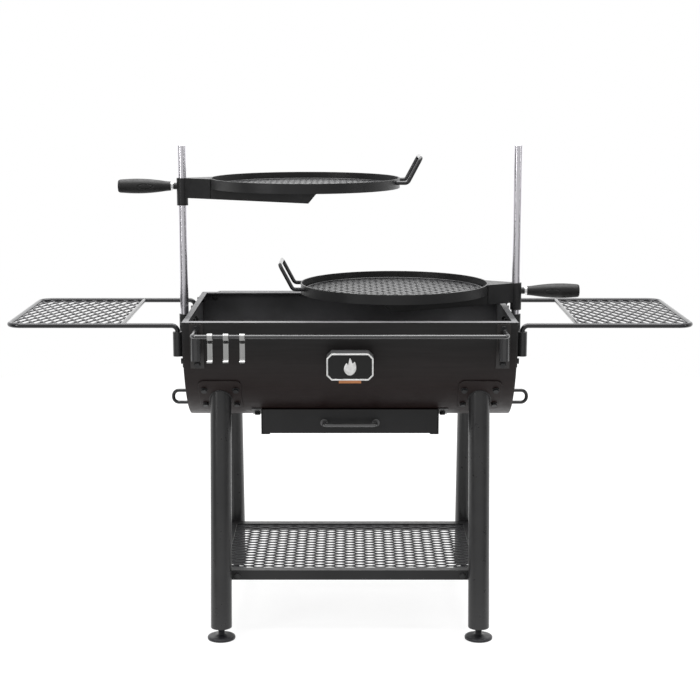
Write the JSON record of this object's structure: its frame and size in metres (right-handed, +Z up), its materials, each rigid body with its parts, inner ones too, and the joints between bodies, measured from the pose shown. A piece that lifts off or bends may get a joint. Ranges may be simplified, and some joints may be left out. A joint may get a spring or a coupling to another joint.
{
  "type": "charcoal barrel grill",
  "caption": "Open-top charcoal barrel grill on splayed legs, with swing-away round grates on posts, lift-off mesh side tables, rails, hooks, ash drawer and mesh shelf.",
  "frame": {"origin": "on the floor, under the middle of the grill", "axes": "+X along the barrel to the cook's right, -Y towards the cook, +Z up"},
  "size_m": [1.71, 0.8024, 1.228],
  "materials": {
    "black_coat": "satin textured powder coat",
    "firebox_coat": "warm black high-heat coat",
    "black_rod": "semi-gloss black powder coat on rod",
    "mesh_coat": "dark grey powder coat on expanded metal",
    "grate_enamel": "grey enamelled steel",
    "coal_iron": "matt iron",
    "post_chrome": "bright plated tube",
    "ferrule_chrome": "polished",
    "hook_steel": "brushed stainless",
    "grip_black": "moulded, fine texture",
    "fastener_black": "black oxide",
    "bush_polymer": "dark self-lubricating bearing plastic",
    "rail_satin": "satin black coat on rod",
    "housing_grey": "dark grey coat on cast metal",
    "copper": "copper plated",
    "badge_face": "dark field, pale border",
    "foot_black": "satin black",
    "thread_zinc": "zinc plated"
  },
  "bodies": {
    "stand": {"barrel_shell": "firebox_coat", "end_plate_left": "firebox_coat", "end_plate_right": "firebox_coat", "leg_plates": "firebox_coat", "leg_plugs": "black_coat", "leg_bolts": "fastener_black", "shelf_frame": "black_coat", "shelf_mesh": "mesh_coat", "shelf_bolts": "fastener_black", "table_sockets": "black_coat", "rail_sockets": "black_coat", "post_sockets": "black_coat", "socket_bolts": "fastener_black", "post_left": "post_chrome", "post_right": "post_chrome", "carry_handles": "black_rod", "charcoal_ledges": "black_coat", "ash_runners": "black_coat", "runner_bolts": "fastener_black", "badge_housing": "housing_grey", "badge_plate": "badge_face", "badge_bolts": "fastener_black", "bottle_opener": "copper", "leg_front_left": "black_coat", "leg_front_right": "black_coat", "leg_rear_left": "black_coat", "leg_rear_right": "black_coat"},
    "ash_drawer": {"ash_drawer": "black_coat", "drawer_handle": "rail_satin"},
    "charcoal_grate": {"charcoal_grate": "coal_iron"},
    "front_rail": {"front_rail": "rail_satin"},
    "rear_rail": {"rear_rail": "rail_satin"},
    "hook_1": {"hook_1": "hook_steel"},
    "hook_2": {"hook_2": "hook_steel"},
    "hook_3": {"hook_3": "hook_steel"},
    "table_left": {"table_left_frame": "black_rod", "table_left_mesh": "mesh_coat"},
    "table_right": {"table_right_frame": "black_rod", "table_right_mesh": "mesh_coat"},
    "left_bush": {"left_post_bush": "bush_polymer"},
    "left_carriage": {"left_arm": "black_coat", "left_ring": "black_coat", "left_ring_handle": "black_rod"},
    "left_grate": {"left_grate": "grate_enamel"},
    "left_grip": {"left_ferrule": "ferrule_chrome", "left_grip": "grip_black", "left_clamp_screw": "thread_zinc"},
    "right_bush": {"right_post_bush": "bush_polymer"},
    "right_carriage": {"right_arm": "black_coat", "right_ring": "black_coat", "right_ring_handle": "black_rod"},
    "right_grate": {"right_grate": "grate_enamel"},
    "right_grip": {"right_ferrule": "ferrule_chrome", "right_grip": "grip_black", "right_clamp_screw": "thread_zinc"},
    "foot_front_left": {"foot_front_left": "foot_black"},
    "foot_front_right": {"foot_front_right": "foot_black"},
    "foot_rear_left": {"foot_rear_left": "foot_black"},
    "foot_rear_right": {"foot_rear_right": "foot_black"}
  },
  "joints": [
    {"name": "drawer_slide", "type": "slide", "parent": "stand", "child": "ash_drawer", "axis": [0, -1, 0], "range_m": [0, 0.25]},
    {"name": "charcoal_grate_lift", "type": "slide", "parent": "stand", "child": "charcoal_grate", "axis": [0, 0, 1], "range_m": [0, 0.135]},
    {"name": "front_rail_lift", "type": "slide", "parent": "stand", "child": "front_rail", "axis": [0, 0, 1], "range_m": [0, 0.06]},
    {"name": "rear_rail_lift", "type": "slide", "parent": "stand", "child": "rear_rail", "axis": [0, 0, 1], "range_m": [0, 0.06]},
    {"name": "table_left_lift", "type": "slide", "parent": "stand", "child": "table_left", "axis": [0, 0, 1], "range_m": [0, 0.075]},
    {"name": "table_right_lift", "type": "slide", "parent": "stand", "child": "table_right", "axis": [0, 0, 1], "range_m": [0, 0.028]},
    {"name": "hook_1_swing", "type": "hinge", "parent": "front_rail", "child": "hook_1", "pos_m": [-0.333, -0.39, 0.793], "axis": [1, 0, 0], "range_deg": [-80, 55]},
    {"name": "hook_2_swing", "type": "hinge", "parent": "front_rail", "child": "hook_2", "pos_m": [-0.295, -0.39, 0.793], "axis": [1, 0, 0], "range_deg": [-80, 55]},
    {"name": "hook_3_swing", "type": "hinge", "parent": "front_rail", "child": "hook_3", "pos_m": [-0.256, -0.39, 0.793], "axis": [1, 0, 0], "range_deg": [-80, 55]},
    {"name": "left_height", "type": "slide", "parent": "stand", "child": "left_bush", "axis": [0, 0, 1], "range_m": [-0.15, 0.08]},
    {"name": "left_swing", "type": "hinge", "parent": "left_bush", "child": "left_carriage", "pos_m": [-0.4326, 0, 1.115], "axis": [0, 0, 1], "continuous": true},
    {"name": "left_grate_lift", "type": "slide", "parent": "left_carriage", "child": "left_grate", "axis": [0, 0, 1], "range_m": [0, 0.06]},
    {"name": "left_grip_turn", "type": "hinge", "parent": "left_carriage", "child": "left_grip", "pos_m": [-0.4826, 0, 1.123], "axis": [-1, 0, 0], "range_deg": [-180, 90]},
    {"name": "right_height", "type": "slide", "parent": "stand", "child": "right_bush", "axis": [0, 0, 1], "range_m": [-0.008, 0.15]},
    {"name": "right_swing", "type": "hinge", "parent": "right_bush", "child": "right_carriage", "pos_m": [0.4326, 0, 0.843], "axis": [0, 0, 1], "continuous": true},
    {"name": "right_grate_lift", "type": "slide", "parent": "right_carriage", "child": "right_grate", "axis": [0, 0, 1], "range_m": [0, 0.06]},
    {"name": "right_grip_turn", "type": "hinge", "parent": "right_carriage", "child": "right_grip", "pos_m": [0.4826, 0, 0.851], "axis": [1, 0, 0], "range_deg": [-180, 90]},
    {"name": "foot_front_left_turn", "type": "hinge", "parent": "stand", "child": "foot_front_left", "pos_m": [-0.325, -0.272, 0.02], "axis": [0, 0, 1], "continuous": true},
    {"name": "foot_front_right_turn", "type": "hinge", "parent": "stand", "child": "foot_front_right", "pos_m": [0.325, -0.272, 0.02], "axis": [0, 0, 1], "continuous": true},
    {"name": "foot_rear_left_turn", "type": "hinge", "parent": "stand", "child": "foot_rear_left", "pos_m": [-0.325, 0.272, 0.02], "axis": [0, 0, 1], "continuous": true},
    {"name": "foot_rear_right_turn", "type": "hinge", "parent": "stand", "child": "foot_rear_right", "pos_m": [0.325, 0.272, 0.02], "axis": [0, 0, 1], "continuous": true}
  ]
}
